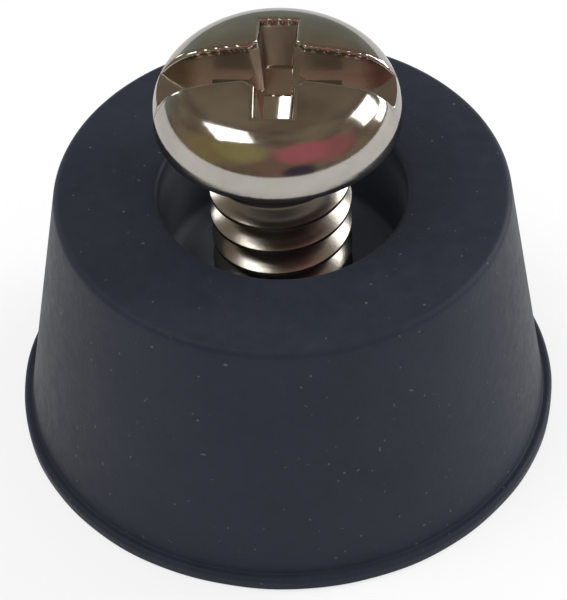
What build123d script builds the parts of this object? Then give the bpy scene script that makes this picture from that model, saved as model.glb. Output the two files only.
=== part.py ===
from build123d import *
import math
import os

# Rubber foot with its fixing screw, standing on the wide face that is fixed to the equipment.
# The origin is the centre of that face, and +Z points up to the narrow tread and the screw's head.
# Lengths are in millimetres and angles in degrees.

# Outside of the foot
base_diameter = 19.0
lip_thickness = 0.5
wall_base_diameter = 18.3
tread_diameter = 15.5
foot_height = 9.85

# Broken edges of the moulding
lip_edge_chamfer = 0.12
tread_edge_chamfer = 0.12
recess_rim_chamfer = 0.12

# Recess that takes the screw's head, and the hole that grips its thread
recess_depth = 4.0
head_clearance = 0.08
thread_clearance = 0.03

# Screw head: short straight side, rounded shoulder and domed crown
head_diameter = 8.26
head_height = 2.5
head_side_height = 0.44
head_shoulder_radius = 1.72

# Combination drive: a straight slot across the whole head, with a deeper cross in its middle
slot_width = 1.6
slot_depth = 1.3
cross_span = 4.9
cross_floor_span = 3.9
cross_wing_width = 1.25
cross_floor_wing_width = 0.9
cross_depth = 2.05
cross_core_diameter = 2.5
cross_core_floor_diameter = 1.9
drive_turn = -3.5

# Screw thread, 60 degree form
thread_diameter = 4.8
thread_pitch = 1.06
thread_length = 9.5
thread_depth_per_pitch = 0.6134
thread_crest_per_pitch = 0.125
thread_flank_angle = 30.0
thread_runout = 1.2
thread_turn = 167.0
tip_diameter = 3.2

# How the screw stands in the foot: its head is still proud of the tread, and it leans a very little
screw_standoff = 3.23
screw_lean = 0.5
screw_lean_heading = 180.0

base_radius = base_diameter / 2
wall_base_radius = wall_base_diameter / 2
tread_radius = tread_diameter / 2
recess_radius = head_diameter / 2 + head_clearance
recess_floor_height = foot_height - recess_depth
head_radius = head_diameter / 2
thread_radius = thread_diameter / 2
thread_depth = thread_depth_per_pitch * thread_pitch
thread_root_radius = thread_radius - thread_depth
hole_radius = thread_radius + thread_clearance


def corner(sketch, radial, height):
    """The section's corner nearest to a point that is given as radius and height."""
    return sketch.vertices().sort_by_distance((radial, height, 0))[0]


def screw_plane():
    """Plane under the screw's head, square to the leaning screw.

    The lean turns about the middle of the hole, which stays on the foot's axis.
    """
    lean = math.radians(screw_lean)
    heading = math.radians(screw_lean_heading)
    direction = Vector(math.sin(lean) * math.cos(heading), math.sin(lean) * math.sin(heading), math.cos(lean))
    hole_middle = Vector(0, 0, recess_floor_height / 2)
    reach = foot_height + screw_standoff - recess_floor_height / 2
    return Plane(origin=hole_middle + direction * reach, x_dir=(1, 0, 0), z_dir=direction)


def rubber_foot():
    """Lipped and tapered body with its recess, revolved from one section, then pierced for the screw."""
    with BuildPart() as foot:
        with BuildSketch(Plane.XZ) as section:
            with BuildLine():
                Polyline(
                    (0, 0),
                    (base_radius, 0),
                    (base_radius, lip_thickness),
                    (wall_base_radius, lip_thickness),
                    (tread_radius, foot_height),
                    (recess_radius, foot_height),
                    (recess_radius, recess_floor_height),
                    (0, recess_floor_height),
                    close=True,
                )
            make_face()
            chamfer(corner(section, base_radius, lip_thickness), lip_edge_chamfer)
            chamfer(corner(section, tread_radius, foot_height), tread_edge_chamfer)
            chamfer(corner(section, recess_radius, foot_height), recess_rim_chamfer)
        revolve(axis=Axis.Z)
        with Locations(screw_plane().location):
            Cylinder(
                hole_radius,
                2 * foot_height + screw_standoff,
                align=(Align.CENTER, Align.CENTER, Align.MAX),
                mode=Mode.SUBTRACT,
            )
    return foot.part


def head_blank():
    """Pan head on the plane z = 0, before its drive is struck: two tangent arcs over a short straight side."""
    shoulder_centre = head_radius - head_shoulder_radius
    dome_rise = head_height - head_side_height
    crown_radius = (dome_rise**2 + shoulder_centre**2 - head_shoulder_radius**2) / (
        2 * (dome_rise - head_shoulder_radius)
    )
    crown_centre = head_height - crown_radius
    tangent_angle = math.atan2(head_side_height - crown_centre, shoulder_centre)
    tangent_point = (
        crown_radius * math.cos(tangent_angle),
        crown_centre + crown_radius * math.sin(tangent_angle),
    )
    with BuildPart() as head:
        with BuildSketch(Plane.XZ) as section:
            with BuildLine():
                Polyline((0, head_height), (0, 0), (head_radius, 0), (head_radius, head_side_height))
                shoulder = TangentArc((head_radius, head_side_height), tangent_point, tangent=(0, 1))
                TangentArc(tangent_point, (0, head_height), tangent=shoulder % 1)
            make_face()
        revolve(axis=Axis.Z)
    return head.part


def cross_wing():
    """One arm of the cross along X: a bar that narrows both ways towards its floor."""
    floor = head_height - cross_depth
    with BuildPart() as wing:
        with BuildSketch(Plane.XY.offset(head_height)):
            Rectangle(cross_span, cross_wing_width)
        with BuildSketch(Plane.XY.offset(floor)):
            Rectangle(cross_floor_span, cross_floor_wing_width)
        loft(ruled=True)
    return wing.part


def drive_cutter():
    """The material that the combination drive takes out of the head."""
    with BuildPart() as cutter:
        with Locations((0, 0, head_height)):
            Box(
                2 * head_diameter,
                slot_width,
                slot_depth,
                align=(Align.CENTER, Align.CENTER, Align.MAX),
            )
            Cone(
                cross_core_floor_diameter / 2,
                cross_core_diameter / 2,
                cross_depth,
                align=(Align.CENTER, Align.CENTER, Align.MAX),
            )
        add(cross_wing())
        add(cross_wing().rotate(Axis.Z, 90))
    return cutter.part.rotate(Axis.Z, drive_turn)


def thread_ridge():
    """Helical ridge of trapezoidal section that runs past both ends of the shank."""
    crest_half = thread_crest_per_pitch * thread_pitch / 2
    flank_slope = math.tan(math.radians(thread_flank_angle))
    sink = thread_depth / 6
    root_half = crest_half + (thread_depth + sink) * flank_slope
    start = -thread_length - thread_pitch
    with BuildPart() as ridge:
        with BuildLine():
            Helix(thread_pitch, thread_length + thread_pitch, thread_root_radius, center=(0, 0, start))
        with BuildSketch(Plane.XZ):
            with BuildLine():
                Polyline(
                    (thread_root_radius - sink, start - root_half),
                    (thread_radius, start - crest_half),
                    (thread_radius, start + crest_half),
                    (thread_root_radius - sink, start + root_half),
                    close=True,
                )
            make_face()
        sweep(is_frenet=True)
    return ridge.part.rotate(Axis.Z, thread_turn)


def shank_envelope():
    """Outer limit of the shank: bevelled tip and run-out under the head, clear of the thread's crest."""
    tip_radius = tip_diameter / 2
    outer_radius = thread_radius + thread_depth
    with BuildPart() as envelope:
        with BuildSketch(Plane.XZ):
            with BuildLine():
                Polyline(
                    (0, -thread_length),
                    (tip_radius, -thread_length),
                    (outer_radius, -thread_length + outer_radius - tip_radius),
                    (outer_radius, -thread_runout - outer_radius + thread_root_radius),
                    (thread_root_radius, -thread_runout),
                    (thread_root_radius, head_side_height),
                    (0, head_side_height),
                    close=True,
                )
            make_face()
        revolve(axis=Axis.Z)
    return envelope.part


def screw():
    """Screw with the underside of its head on z = 0 and its shank along -Z."""
    core = Cylinder(
        thread_root_radius,
        thread_length + head_side_height,
        align=(Align.CENTER, Align.CENTER, Align.MAX),
    )
    threaded = Pos(0, 0, head_side_height) * core + thread_ridge()
    shank = threaded & shank_envelope()
    return head_blank() + shank - drive_cutter()


os.makedirs("parts", exist_ok=True)
export_step(rubber_foot(), "parts/rubber_foot.step")
export_step(screw_plane() * screw(), "parts/screw.step")
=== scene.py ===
import math

import bmesh
import bpy
import numpy as np
from mathutils import Euler, Matrix, Vector

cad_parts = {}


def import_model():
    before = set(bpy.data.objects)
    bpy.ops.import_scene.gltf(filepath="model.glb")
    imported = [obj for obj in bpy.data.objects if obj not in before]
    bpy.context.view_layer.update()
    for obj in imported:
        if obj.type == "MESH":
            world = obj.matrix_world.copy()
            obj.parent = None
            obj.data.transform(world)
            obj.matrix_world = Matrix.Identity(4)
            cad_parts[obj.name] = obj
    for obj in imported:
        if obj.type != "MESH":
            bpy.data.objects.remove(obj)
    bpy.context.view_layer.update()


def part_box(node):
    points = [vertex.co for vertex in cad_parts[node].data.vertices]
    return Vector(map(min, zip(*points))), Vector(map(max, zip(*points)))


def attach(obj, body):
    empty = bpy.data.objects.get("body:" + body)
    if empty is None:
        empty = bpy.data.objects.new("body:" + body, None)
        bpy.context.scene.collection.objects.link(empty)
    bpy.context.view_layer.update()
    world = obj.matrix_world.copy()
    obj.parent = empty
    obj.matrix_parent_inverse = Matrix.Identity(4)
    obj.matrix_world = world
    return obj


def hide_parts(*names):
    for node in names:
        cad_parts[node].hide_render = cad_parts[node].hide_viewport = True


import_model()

# Looks of a black rubber foot with its nickel-plated pan-head screw.
# The frame is in metres. The named sizes below are in millimetres, and MM turns them into metres.
MM = 0.001

# Rubber moulding, as the solid has it, with the soft edges that the solid leaves out
lip_thickness = 0.5
wall_base_radius = 9.15
tread_radius = 7.75
recess_radius = 4.21
recess_floor_height = 5.85
hole_radius = 2.43
base_edge_round = 0.10
lip_edge_round = 0.17
lip_root_round = 0.07
tread_edge_round = 0.28
recess_rim_round = 0.24
recess_floor_round = 0.45
hole_edge_round = 0.06

# Waves round the moulding, each with its count, phase, turn per millimetre of height, and share
wall_waviness = 0.012
wall_waves = ((2, 0.7, 0.25, 1.0), (3, 0.0, -0.4, 0.5))
lip_waviness = 0.022
lip_waves = ((5, 1.3, 0.0, 1.0), (11, 0.4, 0.0, 0.6), (23, 2.2, 0.0, 0.4))

# Screw: head and combination drive
head_radius = 4.13
head_height = 2.5
head_side_height = 0.44
head_shoulder_radius = 1.72
head_rim_round = 0.07
neck_fillet = 0.12
slot_width = 1.6
slot_draft = 0.03
slot_depth = 1.3
cross_span = 4.9
cross_floor_span = 3.9
cross_wing_width = 1.25
cross_floor_wing_width = 0.9
cross_depth = 2.05
cross_core_diameter = 2.5
cross_core_floor_diameter = 1.9
drive_edge_round = 0.16
drive_turn = math.radians(-3.5)

# Screw: shank and thread
thread_radius = 2.4
thread_pitch = 1.06
thread_length = 9.5
thread_depth = 0.65
thread_crest_half = 0.0625
thread_root_half = 0.084
thread_easing = 0.18
thread_runout = 0.5
thread_turn = math.radians(167.0)
tip_radius = 1.6

# How the screw stands in the foot
screw_standoff = 3.23
screw_lean = math.radians(0.5)
screw_lean_heading = math.radians(180.0)

# How finely the surfaces are divided
merge_distance = 0.0005
crease_angle = math.radians(48.0)
foot_columns = 384
foot_run_step = 0.3
foot_arc_steps = 7
neck_rings = 5
underside_rings = 7
rim_rings = 6
dome_rings = 44
edge_rings = 7
edge_passes = 12
wall_rings = 12
ledge_rings = 8
cross_rings = 5
floor_rings = 6
tip_rings = 5
drive_steps = (10, 26, 14, 18, 12)

# Places of the thread's rows from crest to root, in pitches: they gather where the crest and the root end
thread_rows = np.array([0.012, 0.036, 0.0625, 0.09, 0.16, 0.25, 0.34, 0.40, 0.43, 0.47])

# Rubber: its two tones, a painted light that lifts the shade in the recess, and the dust
rubber_dark = (0.0180, 0.0222, 0.0335)
rubber_light = (0.0250, 0.0297, 0.0425)
painted_recess_light = (0.150, 0.164, 0.192)
pale_dust = (0.20, 0.20, 0.19)
dust_share = 0.32

# Rubber: how large its blotches, grain and specks are, and how deep
cloud_size = 3.2
mottle_size = 0.5
mottle_depth = 0.03
grain_size = 0.09
grain_depth = 0.012
speck_size = 0.17

# Plating: its two tones, the drive painted paler to lift its shade, and what forging and rolling do to its
# roughness
nickel_dark = (0.38, 0.356, 0.320)
nickel_light = (0.44, 0.413, 0.373)
painted_drive_light = (0.60, 0.555, 0.495)
painted_drive_light_share = 0.8
struck_dulling = 0.24
rolled_dulling = 0.13
punched_polish = 0.96

# Plating: how large its ripples, scratches and the tick marks along the drive's edge are, and how deep
ripple_size = 1.6
ripple_depth = 0.015
scratch_size = 0.12
scratch_depth = 0.003
tick_spacing = 0.34
tick_depth = 0.03

# Studio, whose sizes are in metres
floor_half_width = 0.6
floor_glow = 0.7
even_light = 0.7
room_radius = 0.45
room_glow = 1.13
lamp_distance = 0.3

# Walls of the room that the plating reflects: darker and lighter ones, and low at the far side
wall_dark = (0.155, 0.122, 0.088)
wall_light = (0.26, 0.210, 0.153)
wall_far_low = (0.29, 0.33, 0.30)

# Patches on the walls: azimuth and elevation, the cosines where each starts and is full, and its colour
wall_patches = (
    (2, 26, 0.86, 0.95, (0.24, 0.150, 0.118)),
    (52, 34, 0.90, 0.97, (0.38, 0.145, 0.15)),
    (26, 46, 0.91, 0.97, (0.50, 0.16, 0.19)),
    (-66, 22, 0.89, 0.97, (0.29, 0.23, 0.11)),
    (-42, 44, 0.91, 0.97, (0.35, 0.31, 0.14)),
    (17, 8, 0.955, 0.985, (0.065, 0.052, 0.070)),
)

foot_low, foot_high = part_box("rubber_foot")
base_radius = (foot_high.x - foot_low.x) / 2 / MM
foot_height = foot_high.z / MM


def screw_axes():
    """Origin under the screw's head and its three axes, in millimetres.

    The lean turns about the middle of the hole, which stays on the foot's axis.
    """
    along = np.array([
        math.sin(screw_lean) * math.cos(screw_lean_heading),
        math.sin(screw_lean) * math.sin(screw_lean_heading),
        math.cos(screw_lean),
    ])
    hole_middle = np.array([0.0, 0.0, recess_floor_height / 2])
    reach = foot_height + screw_standoff - recess_floor_height / 2
    across = np.array([1.0, 0.0, 0.0])
    across = across - along * across.dot(along)
    across = across / np.linalg.norm(across)
    return hole_middle + along * reach, across, np.cross(along, across), along


screw_origin, screw_x, screw_y, screw_z = screw_axes()
head_base = float(screw_origin[2])


# Meshes

def grid_faces(rows, columns, closed_rows=False):
    """Quads of a grid whose columns run round and close, wound so that they face out of a right-hand grid."""
    index = np.arange(rows * columns).reshape(rows, columns)
    right = np.roll(index, -1, axis=1)
    if closed_rows:
        above = np.roll(index, -1, axis=0)
        above_right = np.roll(right, -1, axis=0)
        return np.stack([index, right, above_right, above], axis=-1).reshape(-1, 4)
    return np.stack([index[:-1], right[:-1], right[1:], index[1:]], axis=-1).reshape(-1, 4)


def add_piece(name, points, quads, finish, node):
    """Mesh from arrays of points, in millimetres, and quads, which then stands for a CAD node.

    Points that coincide are merged, which closes the seams and the poles.
    """
    mesh = bpy.data.meshes.new(name)
    mesh.vertices.add(len(points))
    mesh.vertices.foreach_set("co", (points * MM).astype(np.float32).ravel())
    mesh.loops.add(quads.size)
    mesh.loops.foreach_set("vertex_index", quads.astype(np.int32).ravel())
    mesh.polygons.add(len(quads))
    mesh.polygons.foreach_set("loop_start", np.arange(0, quads.size, 4, dtype=np.int32))
    mesh.update(calc_edges=True)
    work = bmesh.new()
    work.from_mesh(mesh)
    bmesh.ops.remove_doubles(work, verts=work.verts, dist=merge_distance * MM)
    work.to_mesh(mesh)
    work.free()
    mesh.polygons.foreach_set("use_smooth", np.ones(len(mesh.polygons), dtype=bool))
    mesh.set_sharp_from_angle(angle=crease_angle)
    mesh.materials.append(finish)
    piece = bpy.data.objects.new(name, mesh)
    bpy.context.scene.collection.objects.link(piece)
    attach(piece, "root")
    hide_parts(node)


# Moulding

def rounded_loop(corners, run_step, arc_steps):
    """Closed section whose corners are arcs tangent to their two runs, as arrays of radius and height.

    Each corner gives its radius, its height and its rounding. An arc of radius q at a corner that turns by t
    starts q tan(t / 2) before the corner.
    """
    rounds = np.array([corner[2] for corner in corners])
    corners = np.array([corner[:2] for corner in corners], dtype=float)
    before = corners - np.roll(corners, 1, axis=0)
    after = np.roll(corners, -1, axis=0) - corners
    before = before / np.linalg.norm(before, axis=1)[:, None]
    after = after / np.linalg.norm(after, axis=1)[:, None]
    sideways = before[:, 0] * after[:, 1] - before[:, 1] * after[:, 0]
    turn = np.arctan2(sideways, (before * after).sum(axis=1))
    reach = rounds * np.abs(np.tan(turn / 2))
    starts = corners - before * reach[:, None]
    ends = corners + after * reach[:, None]
    pieces = []
    for number in range(len(corners)):
        fraction = np.linspace(0, 1, arc_steps + 1)[:, None]
        side = np.sign(turn[number]) * np.array([-before[number, 1], before[number, 0]])
        centre = starts[number] + side * rounds[number]
        angle = fraction * turn[number]
        spoke = starts[number] - centre
        crossed = np.array([-spoke[1], spoke[0]])
        pieces.append(centre + spoke * np.cos(angle) + crossed * np.sin(angle))
        run = starts[(number + 1) % len(corners)] - ends[number]
        steps = max(int(np.linalg.norm(run) / run_step), 2)
        pieces.append(ends[number] + run * np.linspace(0, 1, steps + 1)[1:-1, None])
    return np.concatenate(pieces)


def unevenness(waves, angle, height):
    """Sum of waves round the foot: share times sin(count a + phase + turn z)."""
    return sum(share * np.sin(count * angle + phase + turn * height) for count, phase, turn, share in waves)


def rubber_foot():
    """The moulding: its section is carried round the axis, and near the hole it follows the leaning screw.

    A point lies at (c + r cos a, d + r sin a, z), where (c, d) is the screw's axis at that height times a
    weight that falls from 1 at the hole to 0 at the recess's wall. A few long waves on r keep the outside
    from being perfect. The lip's waves only take away, so that the lip stays inside its size.
    """
    section = rounded_loop(
        [
            (hole_radius, 0, hole_edge_round),
            (base_radius, 0, base_edge_round),
            (base_radius, lip_thickness, lip_edge_round),
            (wall_base_radius, lip_thickness, lip_root_round),
            (tread_radius, foot_height, tread_edge_round),
            (recess_radius, foot_height, recess_rim_round),
            (recess_radius, recess_floor_height, recess_floor_round),
            (hole_radius, recess_floor_height, hole_edge_round),
        ],
        foot_run_step,
        foot_arc_steps,
    )
    angle = np.linspace(0, 2 * np.pi, foot_columns, endpoint=False)[None, :]
    radius = section[:, :1]
    height = section[:, 1:]
    follow = np.clip((recess_radius - radius) / (recess_radius - hole_radius), 0, 1)
    rise = (height - screw_origin[2]) / screw_z[2]
    on_lip = np.clip((radius - wall_base_radius) / (base_radius - wall_base_radius), 0, 1)
    on_wall = np.clip((radius - tread_radius) / (wall_base_radius - tread_radius), 0, 1)
    ripple = unevenness(lip_waves, angle, height)
    swell = unevenness(wall_waves, angle, height)
    outer = radius + lip_waviness * on_lip * (ripple / 2 - 1) + wall_waviness * on_wall * swell
    x = outer * np.cos(angle) + follow * (screw_origin[0] + rise * screw_z[0])
    y = outer * np.sin(angle) + follow * (screw_origin[1] + rise * screw_z[1])
    points = np.stack([x, y, height + 0 * angle], axis=-1).reshape(-1, 3)
    quads = grid_faces(len(section), foot_columns, closed_rows=True)
    add_piece("foot_moulding", points, quads, rubber_finish(), "rubber_foot")


# Screw

shoulder_centre = head_radius - head_shoulder_radius
dome_rise = head_height - head_side_height
crown_radius = (dome_rise**2 + shoulder_centre**2 - head_shoulder_radius**2) / (
    2 * (dome_rise - head_shoulder_radius)
)
crown_centre = head_height - crown_radius
shoulder_angle = math.atan2(head_side_height - crown_centre, shoulder_centre)
crown_edge = crown_radius * math.cos(shoulder_angle)
slot_floor = head_height - slot_depth
cross_floor = head_height - cross_depth
mouth_radius = shoulder_centre + math.sqrt(head_shoulder_radius**2 - (slot_floor - head_side_height)**2)
root_radius = thread_radius - thread_depth


def dome_height(radius):
    """Height of the head's top over its underside: the crown's sphere, and further out the shoulder's arc."""
    crown = crown_centre + np.sqrt(np.maximum(crown_radius**2 - radius**2, 0))
    past_centre = radius - shoulder_centre
    shoulder = head_side_height + np.sqrt(np.maximum(head_shoulder_radius**2 - past_centre**2, 0))
    return np.where(radius < crown_edge, crown, shoulder)


def steepness(wave):
    """Size of a sine or cosine, kept off zero so that it can divide."""
    return np.maximum(np.abs(wave), 1e-6)


def between_depths(at_top, at_floor, height):
    """A size of the cross at a height, when it shrinks evenly from the head's top to the cross's floor."""
    return at_floor + (at_top - at_floor) * (height - cross_floor) / cross_depth


def arm_reach(angle, half_width, half_length):
    """How far a bar that lies along angle 0 reaches from the centre in each direction."""
    return np.minimum(half_width / steepness(np.sin(angle)), half_length / steepness(np.cos(angle)))


def cross_reach(angle, height, grow):
    """Reach of the cross alone at a height: the longest of its core and its two bars, grown by a margin."""
    half_width = between_depths(cross_wing_width, cross_floor_wing_width, height) / 2 + grow
    half_length = between_depths(cross_span, cross_floor_span, height) / 2 + grow
    core = between_depths(cross_core_diameter, cross_core_floor_diameter, height) / 2 + grow
    along = arm_reach(angle, half_width, half_length)
    across = arm_reach(angle + np.pi / 2, half_width, half_length)
    return np.maximum(core, np.maximum(along, across))


def drive_reach(angle, height, grow):
    """Reach of the whole drive at a height above the slot's floor: the cross, or the slot up to its mouth."""
    half_slot = slot_width / 2 - slot_draft * (head_height - height) / slot_depth + grow
    slot = np.minimum(half_slot / steepness(np.sin(angle)), mouth_radius + grow)
    return np.maximum(cross_reach(angle, height, grow), slot)


def drive_angles():
    """Directions round the head, gathered towards the corners of the drive's outline in each quarter."""
    core = cross_core_diameter / 2
    corners = [
        0.0,
        math.asin(slot_width / 2 / mouth_radius),
        math.asin(slot_width / 2 / core),
        math.acos(cross_wing_width / 2 / core),
        math.atan2(cross_span, cross_wing_width),
        math.pi / 2,
    ]
    parts = []
    for start, end, steps in zip(corners[:-1], corners[1:], drive_steps):
        share = (1 - np.cos(np.pi * np.arange(steps) / steps)) / 2
        parts.append(start + (end - start) * share)
    quarter = np.concatenate(parts)
    half = np.concatenate([quarter, np.pi - np.append(quarter, np.pi / 2)[:0:-1]])
    return np.concatenate([half, half + np.pi])


def outside_rings(full):
    """Rings of the head's neck fillet, underside, rounded rim and straight side."""
    rings = []
    for turn in np.linspace(0, np.pi / 2, neck_rings):
        radius = root_radius + neck_fillet * (1 - np.cos(turn))
        rings.append((full * radius, full * neck_fillet * (np.sin(turn) - 1)))
    for radius in np.linspace(root_radius + neck_fillet, head_radius - head_rim_round, underside_rings)[1:-1]:
        rings.append((full * radius, full * 0.0))
    for turn in np.linspace(0, np.pi / 2, rim_rings):
        radius = head_radius - head_rim_round * (1 - np.sin(turn))
        rings.append((full * radius, full * head_rim_round * (1 - np.cos(turn))))
    rings.append((full * head_radius, full * (head_rim_round + head_side_height) / 2))
    return rings


def top_rings(angle, full):
    """Rings of the dome from the head's side up to the drive, then over the drive's rounded edge.

    The edge lies where the drive's wall meets the dome. Its height is found in a few passes, each of which
    takes the wall's reach at the height of the last.
    """
    edge_height = dome_height(drive_reach(angle, head_height * full, 0))
    for _ in range(edge_passes):
        edge_height = np.maximum(dome_height(drive_reach(angle, edge_height, 0)), slot_floor)
    outline = drive_reach(angle, edge_height, drive_edge_round)
    rings = []
    for share in np.linspace(0, 1, dome_rings):
        radius = outline + (head_radius - outline) * math.cos(math.pi / 2 * share)
        rings.append((radius, dome_height(radius)))
    for turn in np.linspace(0, np.pi / 2, edge_rings)[1:]:
        radius = drive_reach(angle, edge_height, drive_edge_round * (1 - math.sin(turn)))
        dome = dome_height(radius)
        sink = drive_edge_round * (1 - math.cos(turn))
        rings.append((radius, np.maximum(dome - sink, np.minimum(slot_floor, dome))))
    return rings


def drive_rings(angle, full, top):
    """Rings down the drive: its wall, the slot's floor, the cross's walls and the cross's flat floor."""
    rings = []
    for share in np.linspace(0, 1, wall_rings)[1:]:
        height = top + (slot_floor - top) * share
        rings.append((drive_reach(angle, height, 0), height))
    wall_foot = rings[-1][0]
    ledge = np.minimum(cross_reach(angle, slot_floor * full, 0), wall_foot)
    for share in np.linspace(0, 1, ledge_rings)[1:]:
        rings.append((wall_foot + (ledge - wall_foot) * share, full * slot_floor))
    for height in np.linspace(slot_floor, cross_floor, cross_rings)[1:]:
        rings.append((np.minimum(cross_reach(angle, height * full, 0), ledge), full * height))
    cross_foot = rings[-1][0]
    for share in np.linspace(0, 1, floor_rings)[1:]:
        rings.append((cross_foot * (1 - share), full * cross_floor))
    return rings


def head_rings(angle):
    """Radius and height of the head's rings, from its neck outwards, over its dome and down to its centre."""
    full = np.ones_like(angle)
    rings = outside_rings(full) + top_rings(angle, full)
    rings = rings + drive_rings(angle, full, rings[-1][1])
    return np.array([radius for radius, height in rings]), np.array([height for radius, height in rings])


def shank_envelope(height):
    """Largest radius of the shank at a height: bevelled at the tip and running out under the head."""
    bevel = tip_radius + height + thread_length
    runout = root_radius + np.maximum(-thread_runout - height, 0)
    return np.minimum(bevel, runout)


def thread_form(phase):
    """Radius over one pitch: flat crest, straight flanks and flat root, with the corners a little eased.

    Along a flank the depth grows as s + k (3 s^2 - 2 s^3 - s), where k is the easing.
    """
    slope = (np.abs(phase) - thread_crest_half) / (0.5 - thread_root_half - thread_crest_half)
    straight = np.clip(slope, 0, 1)
    soft = straight**2 * (3 - 2 * straight)
    return thread_radius - thread_depth * (straight + thread_easing * (soft - straight))


def shank_grid(angle):
    """Helical grid: each row climbs one pitch per turn, and the heights are cut off square at both ends.

    Before that the height over the tip is pitch times (turn + phase - 1 + (a - t) / 2 pi), where t turns the
    whole thread.
    """
    phases = np.concatenate([-thread_rows[::-1], thread_rows])
    turns = np.arange(-2, math.ceil(thread_length / thread_pitch) + 2)
    phase = np.tile(phases, len(turns))[:, None]
    level = np.repeat(turns, len(phases))[:, None] + phase
    height = -thread_length + thread_pitch * (level - 1 + (angle[None, :] - thread_turn) / (2 * np.pi))
    height = np.clip(height, -thread_length, -neck_fillet)
    radius = np.minimum(thread_form(phase) + 0 * height, shank_envelope(height))
    return radius, height


def helix_faces(rows, columns, rows_per_pitch):
    """Quads of a helical grid: its last column joins the first one a pitch higher."""
    index = np.arange(rows * columns).reshape(rows, columns)
    beside = np.roll(index, -1, axis=1)
    beside[:, -1] = np.minimum(index[:, 0] + rows_per_pitch * columns, (rows - 1) * columns)
    return np.stack([index[:-1], beside[:-1], beside[1:], index[1:]], axis=-1).reshape(-1, 4)


def screw_points(radius, height, angle):
    """Points of rings about the screw's own axis, set in the foot's frame."""
    x = radius * np.cos(angle + drive_turn)
    y = radius * np.sin(angle + drive_turn)
    return (
        screw_origin
        + x[..., None] * screw_x
        + y[..., None] * screw_y
        + height[..., None] * screw_z
    ).reshape(-1, 3)


def screw():
    """Head, helical shank and tip as grids that share their directions, joined at the neck and the tip."""
    angle = drive_angles()
    columns = len(angle)
    head_radii, head_heights = head_rings(angle)
    head_points = screw_points(head_radii, head_heights, angle)
    head_quads = grid_faces(len(head_radii), columns)

    shank_radii, shank_heights = shank_grid(angle + drive_turn)
    shank_points = screw_points(shank_radii, shank_heights, angle)
    shank_quads = helix_faces(len(shank_radii), columns, 2 * len(thread_rows))

    tip_radii = tip_radius * np.linspace(0, 1, tip_rings)[:, None] + 0 * angle
    tip_points = screw_points(tip_radii, np.full_like(tip_radii, -thread_length), angle)
    tip_quads = grid_faces(tip_rings, columns)

    points = np.concatenate([head_points, shank_points, tip_points])
    quads = np.concatenate([
        head_quads,
        shank_quads + len(head_points),
        tip_quads + len(head_points) + len(shank_points),
    ])
    add_piece("pan_head_screw", points, quads, nickel_finish(), "screw")


# Shader maths

class Signal:
    """A shader socket that can be added, subtracted and multiplied: each operator adds one Math node."""

    def __init__(self, finish, socket):
        self.finish = finish
        self.socket = socket

    def maths(self, operation, first, second):
        return self.finish.node("ShaderNodeMath", {"operation": operation}, {0: first, 1: second})

    def __add__(self, other):
        return self.maths("ADD", self, other)

    def __radd__(self, other):
        return self.maths("ADD", other, self)

    def __sub__(self, other):
        return self.maths("SUBTRACT", self, other)

    def __rsub__(self, other):
        return self.maths("SUBTRACT", other, self)

    def __mul__(self, other):
        return self.maths("MULTIPLY", self, other)

    def __rmul__(self, other):
        return self.maths("MULTIPLY", other, self)


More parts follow.
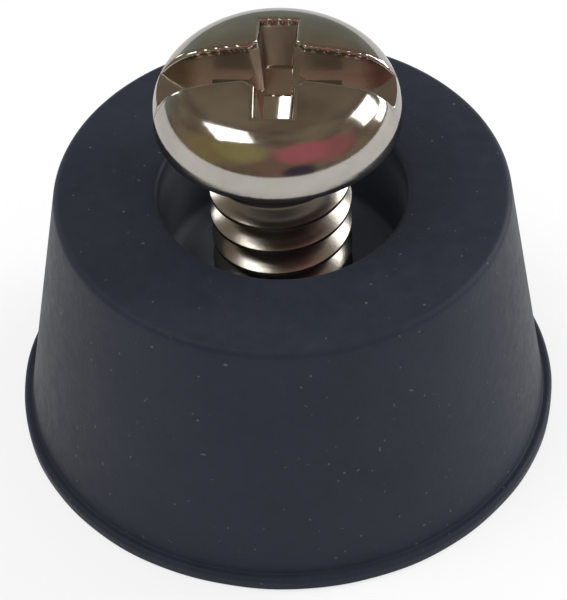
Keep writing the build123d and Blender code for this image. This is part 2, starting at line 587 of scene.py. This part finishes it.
class Finish:
    """A material, or the world, under construction."""

    def __init__(self, name, makers=bpy.data.materials):
        self.material = makers.new(name)
        self.material.use_nodes = True
        self.tree = self.material.node_tree
        self.tree.nodes.clear()

    def node(self, kind, settings=None, inputs=None, output=0):
        """Adds a node: its settings first, then its sockets' values or links. Gives one of its outputs."""
        made = self.tree.nodes.new(kind)
        for name, value in (settings or {}).items():
            setattr(made, name, value)
        for name, value in (inputs or {}).items():
            socket = made.inputs[name]
            if isinstance(value, Signal):
                self.tree.links.new(value.socket, socket)
            elif socket.type == "RGBA" and len(value) == 3:
                socket.default_value = (*value, 1.0)
            else:
                socket.default_value = value
        return Signal(self, made.outputs[output])

    def place(self):
        """Position on the piece, in metres."""
        return self.node("ShaderNodeTexCoord", output="Object")

    def part(self, place, axis):
        """One coordinate of a place or a direction."""
        return self.node("ShaderNodeSeparateXYZ", {}, {0: place}, axis)

    def from_axis(self, place):
        """Distance from the foot's axis, in metres."""
        level = self.node("ShaderNodeVectorMath", {"operation": "MULTIPLY"}, {0: place, 1: (1.0, 1.0, 0.0)})
        return self.node("ShaderNodeVectorMath", {"operation": "LENGTH"}, {0: level}, "Value")

    def noise(self, place, size, detail, roughness):
        """Soft noise whose blotches are about a size in millimetres, from 0 to 1."""
        inputs = {"Vector": place, "Scale": 1 / (size * MM), "Detail": detail, "Roughness": roughness}
        return self.node("ShaderNodeTexNoise", {}, inputs, "Fac")

    def spread(self, signal, low, high, to_low=0.0, to_high=1.0):
        """Maps low..high evenly to another range and clamps it there."""
        inputs = {"Value": signal, "From Min": low, "From Max": high, "To Min": to_low, "To Max": to_high}
        return self.node("ShaderNodeMapRange", {}, inputs)

    def fade(self, distance, none, full):
        """Share that rises from 0 to 1 between two distances in millimetres."""
        return self.spread(distance, none * MM, full * MM)

    def blend(self, share, first, second):
        """Mixes two colours."""
        return self.node("ShaderNodeMix", {"data_type": "RGBA"}, {0: share, 6: first, 7: second}, 2)

    def bump(self, height, depth, strength, under=None):
        """Normal of a relief whose depth is in millimetres."""
        inputs = {"Height": height, "Distance": depth * MM, "Strength": strength}
        if under is not None:
            inputs["Normal"] = under
        return self.node("ShaderNodeBump", {}, inputs)

    def seen(self):
        """1 for camera, mirrored and transmitted rays, and 0 for the rays that only carry light."""
        camera = self.node("ShaderNodeLightPath", output="Is Camera Ray")
        glossy = self.node("ShaderNodeLightPath", output="Is Glossy Ray")
        transmission = self.node("ShaderNodeLightPath", output="Is Transmission Ray")
        return self.spread(camera + glossy + transmission, 0.0, 1.0)

    def close(self, shader, kind="ShaderNodeOutputMaterial"):
        """Ends the material, or the world, with its surface and gives it back."""
        ending = self.tree.nodes.new(kind)
        self.tree.links.new(shader.socket, ending.inputs["Surface"])
        return self.material


def rubber_finish():
    """Matt black moulded rubber with fine grain and specks of dust, and painted light in its recess."""
    finish = Finish("moulded_rubber")
    place = finish.place()
    cloud = finish.noise(place, cloud_size, detail=4.0, roughness=0.6)
    mottle = finish.noise(place, mottle_size, detail=5.0, roughness=0.65)
    grain = finish.noise(place, grain_size, detail=3.0, roughness=0.6)
    specks = finish.noise(place, speck_size, detail=0.0, roughness=0.3)

    # Painted light: inside the recess the rubber is painted about six times lighter and bluer, to lift the
    # shade there.
    inside = finish.fade(finish.from_axis(place), recess_radius + 0.15, recess_radius - 0.1)
    inside = inside * finish.fade(finish.part(place, "Z"), foot_height - 0.05, foot_height - 0.9)
    tone = finish.spread(cloud * 0.5 + mottle * 0.5, 0.34, 0.66)
    colour = finish.blend(tone, rubber_dark, rubber_light)
    colour = finish.blend(inside, colour, painted_recess_light)
    colour = finish.blend(finish.spread(specks, 0.81, 0.85) * dust_share, colour, pale_dust)
    normal = finish.bump(mottle, mottle_depth, strength=0.5)
    normal = finish.bump(grain, grain_depth, strength=0.6, under=normal)
    return finish.close(finish.node(
        "ShaderNodeBsdfPrincipled",
        {},
        {
            "Base Color": colour,
            "Roughness": finish.spread(mottle, 0.3, 0.7, 0.44, 0.58),
            "Normal": normal,
            "IOR": 1.5,
            "Specular IOR Level": 0.12,
            "Sheen Weight": 0.045,
            "Sheen Roughness": 0.4,
            "Sheen Tint": (0.92, 0.95, 1.0),
        },
    ))


def nickel_finish():
    """Bright nickel plating with a warm tint and faint ripples, duller in the drive and on the rolled thread.

    The drive is where the surface lies well inside the crown's sphere and near the axis. Its struck edge has
    a row of tick marks, and the punch leaves the cross's flat floor smooth and bright.
    """
    finish = Finish("nickel_plating")
    place = finish.place()
    ripples = finish.noise(place, ripple_size, detail=3.0, roughness=0.55)
    scratches = finish.noise(place, scratch_size, detail=3.0, roughness=0.6)
    height = finish.part(place, "Z")
    from_axis = finish.from_axis(place)
    ends = {0: place, 1: tuple((screw_origin + screw_z * crown_centre) * MM)}
    from_middle = finish.node("ShaderNodeVectorMath", {"operation": "DISTANCE"}, ends, "Value")

    rolled = finish.fade(height, head_base - 0.1, head_base - 0.3)
    struck = finish.fade(from_middle, crown_radius - 0.10, crown_radius - 0.35)
    struck = struck * finish.fade(from_axis, 3.3, 2.7)
    struck = struck * finish.fade(height, head_base, head_base + 0.4)
    punched = finish.fade(height, head_base + cross_floor + 0.12, head_base + cross_floor + 0.05) * struck
    uneven = 1 - punched
    edge = finish.fade(from_middle, crown_radius - 0.01, crown_radius - 0.04)
    edge = edge * finish.fade(from_middle, crown_radius - 0.26, crown_radius - 0.16)
    edge = edge * finish.fade(from_axis, 3.0, 2.8)

    colour = finish.blend(finish.spread(ripples, 0.35, 0.65), nickel_dark, nickel_light)
    # Painted light: the drive is painted paler, to lift the shade inside it.
    colour = finish.blend(struck * painted_drive_light_share, colour, painted_drive_light)
    roughness = finish.spread(ripples * 0.6 + scratches * 0.4, 0.35, 0.65, 0.08, 0.14)
    roughness = roughness + struck * struck_dulling + rolled * rolled_dulling
    roughness = roughness * (1 - punched * punched_polish)

    # A wave texture of this scale has one band to each unit of length
    one_band = 0.314
    ticks = finish.node(
        "ShaderNodeTexWave",
        {"bands_direction": "X"},
        {"Vector": place, "Scale": one_band / (tick_spacing * MM), "Distortion": 1.2},
        "Fac",
    )
    normal = finish.bump(ripples * uneven, ripple_depth, strength=0.4)
    normal = finish.bump(scratches * uneven, scratch_depth, strength=0.3, under=normal)
    normal = finish.bump(ticks * edge, tick_depth, strength=1.0, under=normal)
    return finish.close(finish.node(
        "ShaderNodeBsdfPrincipled",
        {},
        {
            "Base Color": colour,
            "Roughness": roughness,
            "Normal": normal,
            "Metallic": 1.0,
            "Specular Tint": (0.8, 0.8, 0.8),
        },
    ))


# Studio

def heading(azimuth, elevation):
    """Unit direction: azimuth in degrees from the photograph's side towards +X, elevation above the floor."""
    around = math.radians(azimuth)
    rise = math.radians(elevation)
    return Vector((math.sin(around) * math.cos(rise), -math.cos(around) * math.cos(rise), math.sin(rise)))


def add_stage(name, points, faces, finish):
    """Surface of the studio, which is no part of the foot."""
    mesh = bpy.data.meshes.new(name)
    mesh.from_pydata(points, [], faces)
    mesh.update()
    mesh.materials.append(finish)
    surface = bpy.data.objects.new(name, mesh)
    bpy.context.scene.collection.objects.link(surface)
    return surface


def floor():
    """Plain pale floor, which is white where it is seen and still holds the object's shadow."""
    finish = Finish("pale_floor")
    paper = finish.node("ShaderNodeBsdfDiffuse", {}, {"Color": (0.9, 0.9, 0.9)})
    white = finish.node("ShaderNodeEmission", {}, {"Color": (1.0, 1.0, 1.0), "Strength": 1.0})
    both = finish.node("ShaderNodeMixShader", {}, {0: finish.seen() * floor_glow, 1: paper, 2: white})
    half = floor_half_width
    corners = [(-half, -half, 0), (half, -half, 0), (half, half, 0), (-half, half, 0)]
    add_stage("floor", corners, [(0, 1, 2, 3)], finish.close(both))


def room_finish():
    """Dim warm walls, greener low at the far side, with soft patches of colour on them."""
    finish = Finish("dim_room")
    toward = finish.node("ShaderNodeVectorMath", {"operation": "NORMALIZE"}, {0: finish.place()})
    mottle = finish.node("ShaderNodeTexNoise", {}, {"Vector": toward, "Scale": 2.6, "Detail": 3.0}, "Fac")
    colour = finish.blend(finish.spread(mottle, 0.38, 0.62), wall_dark, wall_light)
    low = finish.spread(finish.part(toward, "Z"), 0.55, 0.12)
    far_low = finish.spread(finish.part(toward, "Y"), 0.15, 0.75) * low
    colour = finish.blend(far_low, colour, wall_far_low)
    for azimuth, elevation, start, full, tint in wall_patches:
        inputs = {0: toward, 1: tuple(heading(azimuth, elevation))}
        nearness = finish.node("ShaderNodeVectorMath", {"operation": "DOT_PRODUCT"}, inputs, "Value")
        colour = finish.blend(finish.spread(nearness, start, full), colour, tint)
    return finish.close(finish.node("ShaderNodeEmission", {}, {"Color": colour, "Strength": room_glow}))


def room():
    """Dome over the floor that only reflections see, as dark cards round a metal part would be.

    Its points lie at R (sin a cos e, -cos a cos e, sin e) for azimuths a and elevations e, from just below
    the floor to the top.
    """
    rows = 25
    columns = 72
    lowest = -1.5
    azimuth = np.linspace(0, 2 * np.pi, columns, endpoint=False)[None, :]
    elevation = np.radians(np.linspace(lowest, 90.0, rows))[:, None]
    x = room_radius * np.sin(azimuth) * np.cos(elevation)
    y = -room_radius * np.cos(azimuth) * np.cos(elevation)
    z = room_radius * np.sin(elevation) + 0 * azimuth
    points = np.stack([x, y, z], axis=-1).reshape(-1, 3)
    surface = add_stage("room", points.tolist(), grid_faces(rows, columns).tolist(), room_finish())
    surface.visible_camera = False
    surface.visible_diffuse = False
    surface.visible_transmission = False
    surface.visible_volume_scatter = False
    surface.visible_shadow = False


def world():
    """White surroundings for what the camera sees, and an even soft light for everything else."""
    finish = Finish("studio", bpy.data.worlds)
    strength = finish.spread(finish.seen(), 0.0, 1.0, even_light, 1.0)
    white = finish.node("ShaderNodeBackground", {}, {"Color": (1.0, 1.0, 1.0), "Strength": strength})
    bpy.context.scene.world = finish.close(white, "ShaderNodeOutputWorld")


def softbox(name, azimuth, elevation, width, height, tilt, radiance):
    """Rectangular lamp that faces the screw's head.

    Its width and height are shares of its distance, and the tilt, in degrees, turns it in its own plane.
    """
    lamp = bpy.data.lights.new(name, "AREA")
    lamp.shape = "RECTANGLE"
    lamp.size = width * lamp_distance
    lamp.size_y = height * lamp_distance
    lamp.energy = radiance * math.pi * lamp.size * lamp.size_y
    holder = bpy.data.objects.new(name, lamp)
    toward = heading(azimuth, elevation)
    target = Vector((0, 0, (foot_height + screw_standoff) * MM))
    holder.location = target + toward * lamp_distance
    facing = toward.to_track_quat("Z", "Y").to_matrix() @ Matrix.Rotation(math.radians(tilt), 3, "Z")
    holder.rotation_euler = facing.to_euler()
    bpy.context.scene.collection.objects.link(holder)


def lamps():
    """Three soft lamps, a small one behind, and a tiny one whose reflection is the glint in the drive."""
    softbox("high_light", azimuth=-83, elevation=62, width=0.42, height=0.46, tilt=-12, radiance=4.5)
    softbox("side_light", azimuth=108, elevation=34, width=0.36, height=0.50, tilt=-35, radiance=6.0)
    softbox("low_light", azimuth=118, elevation=10, width=0.60, height=0.22, tilt=0, radiance=8.0)
    softbox("back_light", azimuth=-138, elevation=17, width=0.14, height=0.22, tilt=0, radiance=7.0)
    softbox(
        "drive_light", azimuth=-179.25, elevation=42.15, width=0.0044, height=0.0180, tilt=-9, radiance=6.0
    )


def photo_camera():
    """Camera of the photograph: it aims at the origin, and then turns a little about its own axes."""
    elevation = math.radians(47.31)
    distance = 110.91 * MM
    aim_left = 0.000616
    aim_up = 0.02787
    roll = -0.0279
    lens = bpy.data.cameras.new("photo_camera")
    lens.sensor_width = 36.0
    lens.lens = 184.18
    lens.clip_start = 0.005
    camera = bpy.data.objects.new("photo_camera", lens)
    turn = (
        Euler((math.pi / 2 - elevation, 0, 0)).to_matrix()
        @ Matrix.Rotation(aim_left, 3, "Y")
        @ Matrix.Rotation(aim_up, 3, "X")
        @ Matrix.Rotation(roll, 3, "Z")
    )
    stand = (0, -distance * math.cos(elevation), distance * math.sin(elevation))
    camera.matrix_world = Matrix.Translation(stand) @ turn.to_4x4()
    bpy.context.scene.collection.objects.link(camera)
    bpy.context.scene.camera = camera


rubber_foot()
screw()
floor()
room()
world()
lamps()
photo_camera()
bpy.context.scene.view_settings.view_transform = "Standard"
